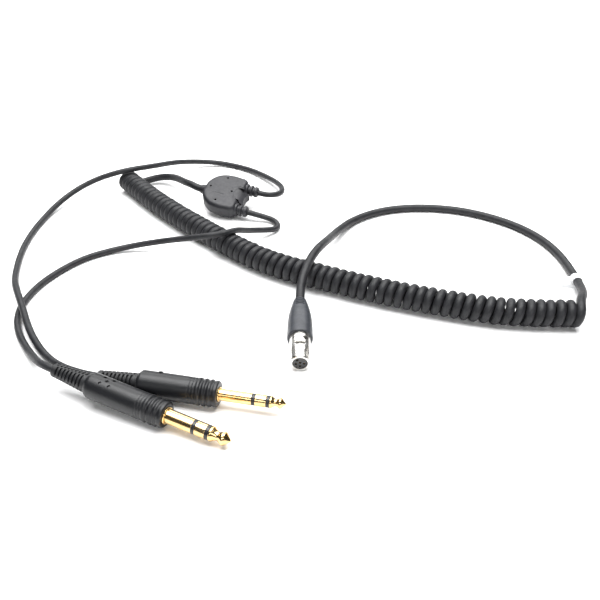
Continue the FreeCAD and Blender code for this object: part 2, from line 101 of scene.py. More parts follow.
# ---- camera ----
def add_camera():
    pitch = 34
    data = bpy.data.cameras.new("camera")
    data.sensor_width = 36
    data.lens = 43.2
    data.clip_start = 0.01
    data.clip_end = 30
    camera = bpy.data.objects.new("camera", data)
    camera.location = (0.051, -0.3185, 0.211)
    camera.rotation_euler = (math.radians(90 - pitch), 0, 0)
    bpy.context.scene.collection.objects.link(camera)
    bpy.context.scene.camera = camera


# ---- materials ----
class Surface:
    """One procedural material, built up on the object's own coordinates."""

    def __init__(self, name, colour, roughness, metallic=0.0):
        self.material = bpy.data.materials.new(name)
        self.material.use_nodes = True
        self.tree = self.material.node_tree
        self.shader = self.tree.nodes["Principled BSDF"]
        self.set("Base Color", (*colour, 1))
        self.set("Roughness", roughness)
        self.set("Metallic", metallic)
        self.coordinates = self.tree.nodes.new("ShaderNodeTexCoord").outputs["Object"]

    def set(self, socket, value):
        self.shader.inputs[socket].default_value = value

    def link(self, source, target):
        self.tree.links.new(source, target)

    def stretched(self, x, y, z):
        """The coordinates scaled unevenly, for marks that run one way."""
        mapping = self.tree.nodes.new("ShaderNodeMapping")
        mapping.inputs["Scale"].default_value = (x, y, z)
        self.link(self.coordinates, mapping.inputs["Vector"])
        return mapping.outputs["Vector"]

    def noise(self, scale, detail, vector=None):
        node = self.tree.nodes.new("ShaderNodeTexNoise")
        node.inputs["Scale"].default_value = scale
        node.inputs["Detail"].default_value = detail
        self.link(vector or self.coordinates, node.inputs["Vector"])
        return node.outputs["Fac"]

    def ranged(self, value, low, high, start=NOISE_LOW, end=NOISE_HIGH):
        """The value's stretch from start to end, mapped on to low to high."""
        node = self.tree.nodes.new("ShaderNodeMapRange")
        for name, number in (("From Min", start), ("From Max", end), ("To Min", low),
                             ("To Max", high)):
            node.inputs[name].default_value = number
        self.link(value, node.inputs["Value"])
        return node.outputs["Result"]

    def tint(self, value, colour_a, colour_b, start=NOISE_LOW, end=NOISE_HIGH):
        mix = self.tree.nodes.new("ShaderNodeMix")
        mix.data_type = "RGBA"
        mix.inputs["A"].default_value = (*colour_a, 1)
        mix.inputs["B"].default_value = (*colour_b, 1)
        self.link(self.ranged(value, 0, 1, start, end), mix.inputs["Factor"])
        self.link(mix.outputs["Result"], self.shader.inputs["Base Color"])

    def gloss(self, value, low, high):
        self.link(self.ranged(value, low, high), self.shader.inputs["Roughness"])

    def bump(self, value, height_mm, strength):
        """Adds relief of that height to what is there already."""
        node = self.tree.nodes.new("ShaderNodeBump")
        node.inputs["Strength"].default_value = strength
        node.inputs["Distance"].default_value = height_mm * MM
        self.link(value, node.inputs["Height"])
        normal = self.shader.inputs["Normal"]
        if normal.links:
            self.link(normal.links[0].from_socket, node.inputs["Normal"])
        self.link(node.outputs["Normal"], normal)


def cord_jacket():
    """Matt PVC: a fine grain, dull patches and a little dust."""
    surface = Surface("cord_jacket", (0.013, 0.0134, 0.0155), 0.5)
    surface.tint(surface.noise(260, 4), (0.010, 0.0104, 0.012), (0.018, 0.0184, 0.021))
    surface.gloss(surface.noise(900, 3), 0.42, 0.58)
    surface.set("Specular IOR Level", 0.32)
    surface.bump(surface.noise(5200, 4), 0.02, 0.5)
    surface.bump(surface.noise(700, 2), 0.05, 0.35)
    return surface.material


def handle_plastic():
    """Satin moulded plastic with faint handling marks along it."""
    surface = Surface("handle_plastic", (0.006, 0.0065, 0.0078), 0.3)
    surface.tint(surface.noise(180, 4), (0.005, 0.0054, 0.0066), (0.008, 0.0086, 0.0103))
    marks = surface.noise(1.0, 3, surface.stretched(120, 2600, 2600))
    surface.gloss(marks, 0.34, 0.44)
    surface.set("Specular IOR Level", 0.45)
    surface.bump(surface.noise(4200, 3), 0.012, 0.5)
    surface.bump(marks, 0.004, 0.6)
    return surface.material


def relief_rubber():
    surface = Surface("relief_rubber", (0.007, 0.0074, 0.0088), 0.42)
    surface.tint(surface.noise(400, 4), (0.006, 0.0063, 0.0075), (0.010, 0.0107, 0.0125))
    surface.gloss(surface.noise(1200, 3), 0.44, 0.58)
    surface.bump(surface.noise(4800, 3), 0.015, 0.5)
    return surface.material


def plug_gold():
    """Gold plate over turned brass: fine tool rings, and streaks rubbed along it by the jack."""
    surface = Surface("plug_gold", (0.85, 0.60, 0.28), 0.18, 1.0)
    rubs = surface.noise(1.0, 4, surface.stretched(90, 2400, 2400))
    rings = surface.noise(1.0, 2, surface.stretched(9000, 60, 60))
    surface.tint(surface.noise(300, 3), (0.87, 0.64, 0.32), (0.83, 0.57, 0.24))
    surface.gloss(rubs, 0.15, 0.27)
    surface.bump(rings, 0.002, 0.5)
    surface.bump(rubs, 0.001, 0.5)
    return surface.material


def contact_gold():
    surface = Surface("contact_gold", (0.98, 0.68, 0.26), 0.22, 1.0)
    surface.tint(surface.noise(900, 3), (1.0, 0.72, 0.30), (0.90, 0.56, 0.18))
    surface.gloss(surface.noise(2400, 3), 0.16, 0.32)
    return surface.material


def insulator_black():
    surface = Surface("insulator_black", (0.010, 0.010, 0.011), 0.28)
    surface.tint(surface.noise(1500, 3), (0.008, 0.008, 0.009), (0.018, 0.018, 0.019))
    surface.gloss(surface.noise(2400, 3), 0.22, 0.36)
    surface.bump(surface.noise(6000, 2), 0.004, 0.5)
    return surface.material


def connector_nickel():
    """Bright nickel plate: small scuffs and turning marks across its length."""
    surface = Surface("connector_nickel", (0.80, 0.785, 0.75), 0.2, 1.0)
    scuffs = surface.noise(1.0, 5, surface.stretched(1500, 1500, 300))
    surface.tint(surface.noise(350, 3), (0.83, 0.815, 0.78), (0.70, 0.685, 0.65))
    surface.gloss(scuffs, 0.24, 0.38)
    surface.bump(scuffs, 0.0006, 0.5)
    return surface.material


def boot_plastic():
    surface = Surface("boot_plastic", (0.030, 0.033, 0.040), 0.42)
    surface.tint(surface.noise(240, 4), (0.026, 0.029, 0.035), (0.036, 0.039, 0.047))
    surface.gloss(surface.noise(800, 3), 0.38, 0.52)
    surface.bump(surface.noise(4500, 3), 0.012, 0.5)
    return surface.material


def insert_plastic():
    surface = Surface("insert_plastic", (0.035, 0.034, 0.033), 0.4)
    surface.tint(surface.noise(1200, 3), (0.026, 0.025, 0.025), (0.050, 0.048, 0.046))
    surface.gloss(surface.noise(2000, 3), 0.34, 0.5)
    surface.bump(surface.noise(5200, 3), 0.008, 0.5)
    return surface.material


def junction_plastic():
    """Slate-grey moulded plastic with slow flow marks and a spark-eroded grain."""
    surface = Surface("junction_plastic", (0.014, 0.0145, 0.018), 0.5)
    flow = surface.noise(1.0, 4, surface.stretched(140, 320, 200))
    surface.tint(flow, (0.011, 0.0115, 0.0145), (0.018, 0.018, 0.0225))
    surface.gloss(surface.noise(700, 3), 0.44, 0.58)
    surface.bump(surface.noise(3600, 4), 0.02, 0.5)
    surface.bump(flow, 0.02, 0.5)
    return surface.material


def core_plastic():
    surface = Surface("core_plastic", (0.18, 0.18, 0.18), 0.6)
    surface.tint(surface.noise(700, 3), (0.15, 0.15, 0.15), (0.21, 0.21, 0.21))
    surface.bump(surface.noise(3000, 3), 0.02, 0.5)
    return surface.material


def label_vinyl():
    """Blank white film, creased where it wraps round the cord, with painted shade darkening the
    creases.
    """
    surface = Surface("label_vinyl", (0.86, 0.87, 0.88), 0.4)
    creases_and_shade = surface.noise(1.0, 4, surface.stretched(500, 900, 500))
    # painted shade: the same crease mask darkens the white film to a cool grey, as shade falling in
    # the creases
    surface.tint(creases_and_shade, (0.88, 0.89, 0.90), (0.70, 0.73, 0.76), 0.45, 0.75)
    surface.gloss(surface.noise(900, 3), 0.32, 0.5)
    surface.bump(creases_and_shade, 0.12, 0.5)
    return surface.material


def plain_steel(name, colour, low, high):
    """Steel or another plain metal, with drawn marks."""
    surface = Surface(name, colour, low, 1.0)
    marks = surface.noise(1.0, 4, surface.stretched(1800, 1800, 400))
    darker = tuple(0.8 * part for part in colour)
    surface.tint(marks, colour, darker)
    surface.gloss(marks, low, high)
    surface.bump(marks, 0.002, 0.5)
    return surface.material


def floor_paper():
    surface = Surface("floor_paper", (0.93, 0.93, 0.93), 0.8)
    surface.set("Specular IOR Level", 0.2)
    surface.tint(surface.noise(6, 3), (0.925, 0.925, 0.925), (0.94, 0.94, 0.94))
    surface.bump(surface.noise(900, 3), 0.02, 0.2)
    return surface.material


JACKET = cord_jacket()
HANDLE_PLASTIC = handle_plastic()
RELIEF_RUBBER = relief_rubber()
GOLD = plug_gold()
CONTACT_GOLD = contact_gold()
INSULATOR = insulator_black()
NICKEL = connector_nickel()
BOOT = boot_plastic()
INSERT = insert_plastic()
JUNCTION_PLASTIC = junction_plastic()
CORE = core_plastic()
LABEL = label_vinyl()
STEEL = plain_steel("steel", (0.42, 0.42, 0.42), 0.28, 0.45)
DARK_STEEL = plain_steel("dark_steel", (0.10, 0.10, 0.105), 0.35, 0.5)
COPPER = plain_steel("copper", (0.75, 0.36, 0.20), 0.25, 0.4)


# ---- places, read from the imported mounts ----
def frame_on(mount_name, along):
    """A piece's own frame: +x along the mount's axis, whose middle is that many mm along it."""
    mount = MOUNTS[mount_name]
    x_axis = Vector(mount["axis"]).normalized()
    z_axis = (Vector((0, 0, 1)) - x_axis * x_axis.z).normalized()
    y_axis = z_axis.cross(x_axis)
    origin = Vector(mount["pos_m"]) - x_axis * along * MM
    turn = Matrix((x_axis, y_axis, z_axis)).transposed().to_4x4()
    return Matrix.Translation(origin) @ turn


def junction_frame():
    tilt = Matrix.Rotation(math.radians(JUNCTION_TILT), 4, "X")
    heading = Matrix.Rotation(math.radians(JUNCTION_HEADING), 4, "Z")
    return Matrix.Translation(Vector(JUNCTION_CENTRE) * MM) @ tilt @ heading


HEADPHONE = frame_on("headphone_plug", HEADPHONE_MOUNT_X)
MICROPHONE = frame_on("microphone_plug", MICROPHONE_MOUNT_X)
CONNECTOR = frame_on("connector_nose", CONNECTOR_MOUNT_X)
JUNCTION = junction_frame()


def point_on(placement, x, y=0.0, z=0.0):
    """A point of a piece's own frame, in the row frame's millimetres."""
    return tuple(placement @ (Vector((x, y, z)) * MM) / MM)


# ---- mesh helpers, in millimetres along the piece's own +x ----
def ring_points(x, radius, count, y=0.0):
    points = []
    for k in range(count):
        angle = 2 * math.pi * k / count
        r = radius(x, angle) if callable(radius) else radius
        points.append((x, y + r * math.sin(angle), r * math.cos(angle)))
    return points


def lofted(loops, closed=False):
    """A mesh through loops of equally many points. A loop of one point is a pole."""
    mesh = bmesh.new()
    rows = [[mesh.verts.new(Vector(p) * MM) for p in loop] for loop in loops]
    pairs = list(zip(rows, rows[1:]))
    if closed:
        pairs.append((rows[-1], rows[0]))
    for a, b in pairs:
        count = max(len(a), len(b))
        for k in range(count):
            following = (k + 1) % count
            corners = [a[k % len(a)], a[following % len(a)], b[following % len(b)], b[k % len(b)]]
            unique = list(dict.fromkeys(corners))
            if len(unique) > 2:
                mesh.faces.new(unique)
    if not closed:
        for row in (rows[0], rows[-1]):
            if len(row) > 2:
                mesh.faces.new(row)
    bmesh.ops.recalc_face_normals(mesh, faces=mesh.faces)
    return mesh


def turned(profile, closed=False, count=96, y=0.0):
    """A solid of revolution from (x, radius) points. A closed profile is a hollow one."""
    loops = []
    for x, r in profile:
        loops.append([(x, y, 0.0)] if r == 0 else ring_points(x, r, count, y))
    return lofted(loops, closed)


def rod(x0, x1, r, count):
    return turned([(x0, 0), (x0, r), (x1, r), (x1, 0)], count=count)


def box(x0, x1, y0, y1, z0, z1):
    corners = [(y0, z0), (y1, z0), (y1, z1), (y0, z1)]
    return lofted([[(x, y, z) for y, z in corners] for x in (x0, x1)])


def rotated(mesh, degrees, axis="X"):
    turn = Matrix.Rotation(math.radians(degrees), 4, axis)
    bmesh.ops.transform(mesh, matrix=turn, verts=mesh.verts)
    return mesh


def moved(mesh, x, y, z):
    bmesh.ops.translate(mesh, vec=Vector((x, y, z)) * MM, verts=mesh.verts)
    return mesh


def spoke(x, angle, r0, r1, r, count=32):
    """A round pin standing out from the axis, angle degrees from the top towards +y."""
    return moved(rotated(rotated(rod(r0, r1, r, count), -90, "Y"), -angle), x, 0, 0)


def smooth_step(value):
    value = max(0.0, min(1.0, value))
    return value * value * (3 - 2 * value)


def loose_object(mesh):
    data = bpy.data.meshes.new("loose")
    mesh.to_mesh(data)
    mesh.free()
    thing = bpy.data.objects.new("loose", data)
    bpy.context.scene.collection.objects.link(thing)
    return thing


def carved(mesh, cutters, operation="DIFFERENCE"):
    """The mesh with the cutters taken away from it or joined to it."""
    base = loose_object(mesh)
    tools = [loose_object(cutter) for cutter in cutters]
    for tool in tools:
        cut = base.modifiers.new("cut", "BOOLEAN")
        cut.operation = operation
        cut.object = tool
        cut.solver = "EXACT"
    bpy.context.view_layer.update()
    result = bmesh.new()
    result.from_object(base, bpy.context.evaluated_depsgraph_get())
    for thing in [base, *tools]:
        data = thing.data
        bpy.data.objects.remove(thing)
        bpy.data.meshes.remove(data)
    return result


def together(*meshes):
    """Several meshes as one, left as separate shells."""
    joined = bmesh.new()
    for mesh in meshes:
        data = bpy.data.meshes.new("part")
        mesh.to_mesh(data)
        mesh.free()
        joined.from_mesh(data)
        bpy.data.meshes.remove(data)
    return joined


def piece(name, mesh, placement, material, nodes, body=CORD_SET, edge=0.0, sharp=38):
    """A finished piece in its place: smooth, its edges rounded by edge mm, riding on its body."""
    data = bpy.data.meshes.new(name)
    mesh.to_mesh(data)
    mesh.free()
    data.materials.append(material)
    data.shade_smooth()
    data.set_sharp_from_angle(angle=math.radians(sharp))
    thing = bpy.data.objects.new(name, data)
    bpy.context.scene.collection.objects.link(thing)
    thing.matrix_world = placement
    if edge:
        bevel = thing.modifiers.new("rounded edges", "BEVEL")
        bevel.width = edge * MM
        bevel.segments = 3
        bevel.limit_method = "ANGLE"
        bevel.angle_limit = math.radians(sharp)
        bevel.harden_normals = True
    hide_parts(*nodes)
    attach(thing, body)
    return thing


# ---- cords ----
COIL_ROUTE = [
    (-66, 130), (-47, 103.5), (-22, 74), (4, 47), (31, 21.5),
    (62, 5.5), (93, -8.5), (126, -20), (158, -28.5), (191, -28.1),
]

# from the connector's boot back to the curly cord's end
CONNECTOR_ROUTE = [
    point_on(CONNECTOR, 1), point_on(CONNECTOR, -5), (51.7, -7.5, 12), (53.8, 0, 15.2),
    (56.8, 9, 17), (60.6, 18.5, 17.2), (64.2, 28, 15.2), (67, 38, 12), (69.8, 49, 8.2),
    (74.4, 62.5, 4.8), (82.6, 77.8, 2.5), (97, 89.5, 2.35), (115, 96, 2.35), (136, 96.5, 2.35),
    (156, 91.5, 2.35), (174, 80.5, 2.35), (187, 67.3, 2.35), (195.4, 52, 2.35),
    (199.4, 36, 2.35), (200.2, 23, 2.6), (199.8, 12, 3.4), (198.6, 1.5, 5), (196.6, -8, 7.4),
    (193.9, -15.5, 9.8), (190.6, -22, 11.6),
]

# from the curly cord's other end to the junction
JUNCTION_ROUTE = [
    (-57.5, 134.3, 2.5), (-51, 137.8, 3.4), (-43.5, 138.6, 4.6), (-37, 135.3, 6.2),
    (-31.5, 128.7, 8), (-27, 120.8, 10), (-23.2, 113.6, 12), (-18.8, 108, 13.2),
    point_on(JUNCTION, JUNCTION_INLET_X - 3), point_on(JUNCTION, JUNCTION_INLET_X + 1),
]

HEADPHONE_ROUTE = [
    point_on(JUNCTION, JUNCTION_OUTLET_X - 1, -JUNCTION_OUTLET_Y),
    point_on(JUNCTION, JUNCTION_OUTLET_X + 5, -JUNCTION_OUTLET_Y),
    (29.3, 81.9, 3.2), (33.8, 80, 2.5), (36.9, 76.1, 2.1), (37.6, 71.3, 2.1), (35.6, 67, 2.7),
    (31, 63.2, 4.2), (25, 58.2, 6.8), (19.5, 51, 10.5), (15, 43.5, 15), (9.5, 37, 16.6),
    (3, 34.8, 16.4), (-3, 35.1, 15.4), (-10.6, 37.2, 13.2), (-20.2, 40.4, 10.4),
    (-30, 43.4, 7.4), (-39.5, 45.3, 4.8), (-48.4, 45.6, 2.8), (-58.8, 42.6, 1.8),
    (-71.5, 34.5, 1.8), (-82, 20.5, 1.8), (-89.2, 5.5, 1.8), (-92.3, -10.5, 1.8),
    (-90.8, -25, 1.8), (-85.5, -38, 1.8), (-78.8, -48.5, 2.2), (-72.6, -57.5, 4.2),
    (-67.3, -65.5, 7.4), point_on(HEADPHONE, -HEADPHONE_L - RELIEF_L - 6),
    point_on(HEADPHONE, -HEADPHONE_L - RELIEF_L + 1),
]

MICROPHONE_ROUTE = [
    point_on(JUNCTION, JUNCTION_OUTLET_X - 1, JUNCTION_OUTLET_Y),
    point_on(JUNCTION, JUNCTION_OUTLET_X + 4, JUNCTION_OUTLET_Y),
    (32.8, 99.5, 9.8), (36.8, 102.4, 9), (39, 107, 8.2), (39.5, 113, 7.2), (38.4, 121, 6),
    (34.5, 131.5, 4.4), (27, 143.5, 3), (16.5, 156, 2.1), (2, 165.5, 1.8), (-12, 168.8, 2.6),
    (-25.5, 164.2, 5), (-36.5, 153.5, 9), (-45, 139.5, 13), (-52, 129, 16), (-61, 122.8, 17),
    (-71, 121, 15.2), (-82, 119.6, 12), (-92, 115, 8.6), (-100.5, 106, 5.4), (-106.3, 94, 3),
    (-109.3, 80, 1.8), (-110.6, 65, 1.8), (-110.4, 48, 1.8), (-108, 30.5, 1.8),
    (-104, 13.5, 2.8), (-98.5, -1, 6.2), (-88.5, -20.5, 6.2), (-81.5, -35, 3.6), (-75, -45, 2.2),
    (-69, -53, 2), (-62.5, -60, 2.4), (-55, -66, 3.6), (-48, -70.5, 5),
    point_on(MICROPHONE, -MICROPHONE_L - RELIEF_L - 5),
    point_on(MICROPHONE, -MICROPHONE_L - RELIEF_L + 1),
]


def route_curve(name, points, radius):
    """An open NURBS cord whose control points are the route's points."""
    data = bpy.data.curves.new(name, "CURVE")
    data.dimensions = "3D"
    data.bevel_depth = radius * MM
    data.bevel_resolution = 5
    data.use_fill_caps = True
    spline = data.splines.new("NURBS")
    spline.points.add(len(points) - 1)
    for target, point in zip(spline.points, points):
        target.co = (*(Vector(point) * MM), 1)
    spline.order_u = 3
    spline.use_endpoint_u = True
    spline.resolution_u = 5
    thing = bpy.data.objects.new(name, data)
    bpy.context.scene.collection.objects.link(thing)
    return thing


def line_of(points):
    """The line of a route's spline, as close points in millimetres."""
    bare = route_curve("bare", points, 0)
    bare.data.splines[0].resolution_u = 40
    mesh = bpy.data.meshes.new_from_object(bare)
    line = [vertex.co / MM for vertex in mesh.vertices]
    bpy.data.meshes.remove(mesh)
    data = bare.data
    bpy.data.objects.remove(bare)
    bpy.data.curves.remove(data)
    return line


def length_of(line):
    return sum((b - a).length for a, b in zip(line, line[1:]))


def walk(line, steps):
    """Points and directions at distances that rise from 0 along a line."""
    found = []
    at = 0.0
    index = 0
    for wanted in steps:
        while index < len(line) - 2 and at + (line[index + 1] - line[index]).length < wanted:
            at += (line[index + 1] - line[index]).length
            index += 1
        a, b = line[index], line[index + 1]
        share = (wanted - at) / (b - a).length
        found.append((a.lerp(b, share), (b - a).normalized()))
    return found


def curly_points():
    """The helix, from the junction's end to the connector's, with a little unevenness."""
    axis = line_of([(x, y, COIL_R) for x, y in COIL_ROUTE])
    long = length_of(axis)
    per_turn = 14
    inset = MAIN_R + 0.3
    left, right = COIL_PITCH
    turns = round((long - 2 * inset) / (0.5 * (left + right))) + 0.5
    count = round(turns * per_turn)
    shrink = math.cos(math.pi / per_turn)
    steps = []
    for k in range(count + 1):
        share = k / count
        eased = share * (left + 0.5 * (right - left) * share) / (0.5 * (left + right))
        steps.append(inset + (long - 2 * inset) * eased)
    points = []
    for k, (middle, ahead) in enumerate(walk(axis, steps)):
        turn = k / per_turn
        angle = -math.pi / 2 - 2 * math.pi * turn
        side = Vector((-ahead.y, ahead.x, 0)).normalized()
        slack = 0.14 * math.sin(1.7 * turn) + 0.10 * math.sin(4.3 * turn + 1.0)
        lean = 0.1 + 0.2 * math.sin(0.23 * turn + 0.6)
        r = (COIL_R - MAIN_R - 0.12 + 0.08 * math.sin(2.9 * turn)) / shrink
        up = math.sin(angle)
        point = middle + side * r * math.cos(angle) + Vector((0, 0, 1)) * r * up
        point += ahead * (slack + lean * up)
        points.append(tuple(point))
    return points


def add_cord(name, points, radius, nodes):
    thing = route_curve(name, points, radius)
    thing.data.materials.append(JACKET)
    long = length_of(line_of(points))
    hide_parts(*nodes)
    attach(thing, CORD_SET)


def add_label():
    """A strip of film wrapped once round the lead, its two ends stuck together as a short tail."""
    line = line_of(CONNECTOR_ROUTE)
    long = length_of(line)
    steps = [long * k / 400 for k in range(400)]
    stretch = [(p, d) for p, d in walk(line, steps) if 4.5 < p.y < 11.1 and p.x > 150]
    loops = []
    for k, (middle, ahead) in enumerate(stretch):
        side = Vector((ahead.y, -ahead.x, 0)).normalized()
        up = side.cross(ahead).normalized()
        if up.z < 0:
            up = -up
        if side.x > 0:
            side = -side
        crease = 0.10 * math.sin(2.1 * k) + 0.06 * math.sin(5.3 * k + 1)
        outer = []
        inner = []
        for j in range(25):
            angle = math.radians(15 + 330 * j / 24)
            bulge = MAIN_R + 0.32 + 0.07 * math.sin(3 * angle + 0.9 * k) + 0.4 * crease
            direction = side * math.cos(angle) + up * math.sin(angle)
            outer.append(middle + direction * bulge)
            inner.append(middle + direction * (MAIN_R + 0.04))
        lift = Vector((0, 0, 0.5 * math.sin(0.7 * k)))
        root = middle + side * (MAIN_R + 2.4) + lift * 0.3
        end = middle + side * (MAIN_R + 7.2 - 0.25 * (k % 3)) + lift + Vector((0, 0, -0.6))
        thick = up * 0.12
        tail = [root - thick, end - thick, end + thick, root + thick]
        loops.append(outer + tail + [outer[0]] + inner[:1] + inner[::-1][:-1])
    return lofted(loops)


def build_cords():
    label = piece("cable_label_wrap", add_label(), Matrix.Identity(4), LABEL,
                  ["cable_label"], sharp=60)
    curly = curly_points()
    main_route = CONNECTOR_ROUTE + curly[::-1] + JUNCTION_ROUTE
    add_cord("main_cord", main_route, MAIN_R,
             ["connector_lead", "coil_cord", "junction_lead"])
    add_cord("headphone_cord", HEADPHONE_ROUTE, LEAD_R, ["headphone_lead"])
    add_cord("microphone_cord", MICROPHONE_ROUTE, LEAD_R,
             ["microphone_lead"])


# ---- plugs, along +x from the handle's front face ----
def relief_radius(tail, radii):
    """The slotted sleeve's outline: slots take turns between the four quarters."""
    pitch = 1.9
    slot = 0.95
    depth = 1.0
    start = tail + 1.7

    def radius(x, angle):
        outer = radii[0] + (radii[1] - radii[0]) * (x - tail) / RELIEF_L
        if x < tail + 0.5:
            outer -= 0.4 * (1 - (x - tail) / 0.5) ** 2
        quarter = int(angle // (math.pi / 2)) % 2
        along = x - start - (pitch / 2 if quarter else 0)
        index = math.floor(along / pitch)
        last = 7 if quarter else 8
        if not 0 <= index <= last:
            return outer
        inside = along - index * pitch
        across = smooth_step(min(inside, slot - inside) / 0.24)
        nearest_spine = abs((angle + math.pi / 4) % (math.pi / 2) - math.pi / 4)
        spine = smooth_step((nearest_spine * outer - 0.25) / 0.25)
        return outer - depth * across * spine

    return radius


def strain_relief(name, placement, rear, radii):
    tail = rear - RELIEF_L
    stations = [tail + 0.08 * k for k in range(round(RELIEF_L / 0.08))] + [rear + 0.65]
    loops = [ring_points(tail, LEAD_R, 120)]
    loops += [ring_points(x, relief_radius(tail, radii), 120) for x in stations]
    loops += [ring_points(rear + 0.7, 3.4, 120)]
    piece(f"{name}_relief", lofted(loops), placement, RELIEF_RUBBER,
          [f"{name}_strain_relief"], sharp=55)


def handle_profile(rear, rear_r):
    """The barrel's outline: chamfered rear, two fine rings, three rounded ribs, front rim."""
    full_from = rear + 2.8
    full_to = -13.2
    fine_rings = (-12.4, -11.0)
    profile = [(rear + 0.6, 3.4), (rear + 0.6, rear_r - 0.1), (rear + 0.7, rear_r + 0.05),
               (rear + 0.9, rear_r + 0.15), (rear + 1.9, HANDLE_R - 0.12),
               (rear + 2.3, HANDLE_R - 0.03), (full_from, HANDLE_R)]
    profile += [(full_from + k * (full_to - full_from) / 5, HANDLE_R) for k in range(1, 6)]
    for centre in fine_rings:
        for k in range(-4, 5):
            dip = 0.07 * (1 + math.cos(math.pi * k / 4))
            profile.append((centre + 0.1 * k, HANDLE_R - dip))
    profile += [(-10.2, HANDLE_R), (-9.7, HANDLE_R)]
    for index in range(3):
        crown = LAST_RIB_X - 0.55 - 2.5 * (2 - index)
        rise = RIB_R - 0.04 * index
        for k in range(-5, 6):
            share = 0.5 * (1 + math.cos(math.pi * k / 5))
            low = HANDLE_R - (0.05 if index == 0 and k < 0 else 0.42)
            profile.append((crown + 0.23 * k, low + (rise - low) * share ** 0.75))
    profile += [(-1.95, HANDLE_R - 0.36), (-1.7, HANDLE_R - 0.2), (-1.4, HANDLE_R - 0.14)]
    for degrees in range(0, 91, 15):
        turn = math.radians(degrees)
        profile.append((-0.8 + 0.8 * math.sin(turn), HANDLE_R - 0.94 + 0.8 * math.cos(turn)))
    return profile


def handle(name, placement, rear, rear_r, metal_r, mark):
    profile = handle_profile(rear, rear_r)
    profile += [(0, metal_r + 0.9), (-0.35, metal_r + 0.7), (-0.35, 0)]
    body = turned([(rear + 0.6, 0)] + profile, count=128)
    at = rear + 10.2
    if mark == "dimples":
        places = ((0, 0), (-2.3, -20), (-2.3, 20), (2.3, -20), (2.3, 20))
        body = carved(body, [spoke(at + dx, angle, HANDLE_R - 0.6, HANDLE_R + 1, 0.75)
                             for dx, angle in places])
    else:
        body = carved(body, [spoke(at, 27, HANDLE_R - 0.5, HANDLE_R + 0.45, 0.85)], "UNION")
    piece(f"{name}_grip", body, placement, HANDLE_PLASTIC,
          [f"{name}_handle"], edge=0.1, sharp=50)


def tip_profile(start, end, metal_r):
    """Flange, waist, ball shoulder and cone."""
    length = end - start
    waist = 0.60
    points = [(0.0, 0.93), (0.01, 0.98), (0.03, 1.0), (0.09, 1.0), (0.11, 0.97),
              (0.20, 0.80), (0.29, 0.66), (0.34, waist + 0.01), (0.38, waist),
              (0.42, waist + 0.03), (0.50, 0.76), (0.56, 0.87), (0.60, 0.915), (0.645, 0.925),
              (0.69, 0.90), (0.75, 0.79), (0.82, 0.60), (0.90, 0.37), (0.96, 0.21),
              (0.985, 0.14), (1.0, 0.0)]
    return [(start, 0)] + [(start + share * length, size * metal_r) for share, size in points]


def plug(name, placement, handle_l, radii, rear_r, metal_r, metal_l, bands, mark):
    """The bands are how far the sleeve, insulator, ring and insulator reach from the shoulder."""
    rear = -handle_l
    strain_relief(name, placement, rear, radii)
    handle(name, placement, rear, rear_r, metal_r, mark)
    sleeve_end, rear_end, ring_end, front_end = bands
    lip = 0.1
    inset = metal_r - INSULATOR_DIP
    piece(f"{name}_washer", turned([
        (-0.3, metal_r - 0.3), (-0.3, metal_r + 0.6), (0.3, metal_r + 0.6),
        (0.5, metal_r + 0.4), (0.5, metal_r - 0.3)], True),
        placement, GOLD, [f"{name}_collar"], edge=0.06)
    piece(f"{name}_sleeve_contact", turned([
        (-2.5, 0), (-2.5, metal_r), (sleeve_end - lip, metal_r), (sleeve_end, metal_r - lip),
        (sleeve_end, 0)]), placement, GOLD, [f"{name}_sleeve"], edge=0.04)
    piece(f"{name}_ring_contact", turned([
        (rear_end, 0), (rear_end, metal_r - lip), (rear_end + lip, metal_r),
        (ring_end - lip, metal_r), (ring_end, metal_r - lip), (ring_end, 0)]),
        placement, GOLD, [f"{name}_ring"], edge=0.04)
    piece(f"{name}_tip_contact", turned(tip_profile(front_end, metal_l, metal_r)),
          placement, GOLD, [f"{name}_tip"], sharp=60)
    for place, start, end in (("rear", sleeve_end, rear_end), ("front", ring_end, front_end)):
        piece(f"{name}_{place}_spacer", turned([
            (start - 0.02, 0), (start - 0.02, inset), (end + 0.02, inset), (end + 0.02, 0)]),
            placement, INSULATOR, [f"{name}_{place}_insulator"], edge=0.04)


# ---- connector ----
def boot_radius(x, angle):
    """A smooth bell, with four short grooves above and below at its thin end."""
    knots = [(0, 2.85), (0.4, 3.1), (1.0, 3.35), (4.5, 4.15), (8.5, 5.0), (12.5, 5.62), (17, 5.95),
             (22, 6.08), (BOOT_L - 0.5, 6.13), (BOOT_L - 0.2, 6.05), (BOOT_L, 5.85)]
    outer = knots[-1][1]
    for (x0, r0), (x1, r1) in zip(knots, knots[1:]):
        if x <= x1:
            outer = r0 + (r1 - r0) * (x - x0) / (x1 - x0)
            break
    across = outer * math.sin(angle)
    height = outer * math.cos(angle)
    sector = smooth_step((2.45 - abs(across)) / 0.35) * smooth_step((abs(height) - 0.9) / 0.5)
    depth = 0.0
    for index in range(4):
        middle = 1.9 + 1.7 * index
        depth = max(depth, smooth_step((0.5 - abs(x - middle)) / 0.28))
    return outer - 0.6 * depth * sector


def build_boot():
    fine = [0.1 * k for k in range(86)]
    coarse = [8.5 + 0.5 * k for k in range(1, 39)]
    stations = fine + coarse + [BOOT_L - 0.5, BOOT_L - 0.35, BOOT_L - 0.2, BOOT_L - 0.1, BOOT_L]
    loops = [ring_points(0, MAIN_R - 0.1, 120)]
    loops += [ring_points(x, boot_radius, 120) for x in sorted(set(stations))]
    loops.append(ring_points(BOOT_L, SHELL_R - 0.02, 120))
    loops.append(ring_points(BOOT_L - 0.8, SHELL_R - 0.1, 120))
    piece("connector_bell", lofted(loops), CONNECTOR, BOOT, ["connector_boot"],
          sharp=50)


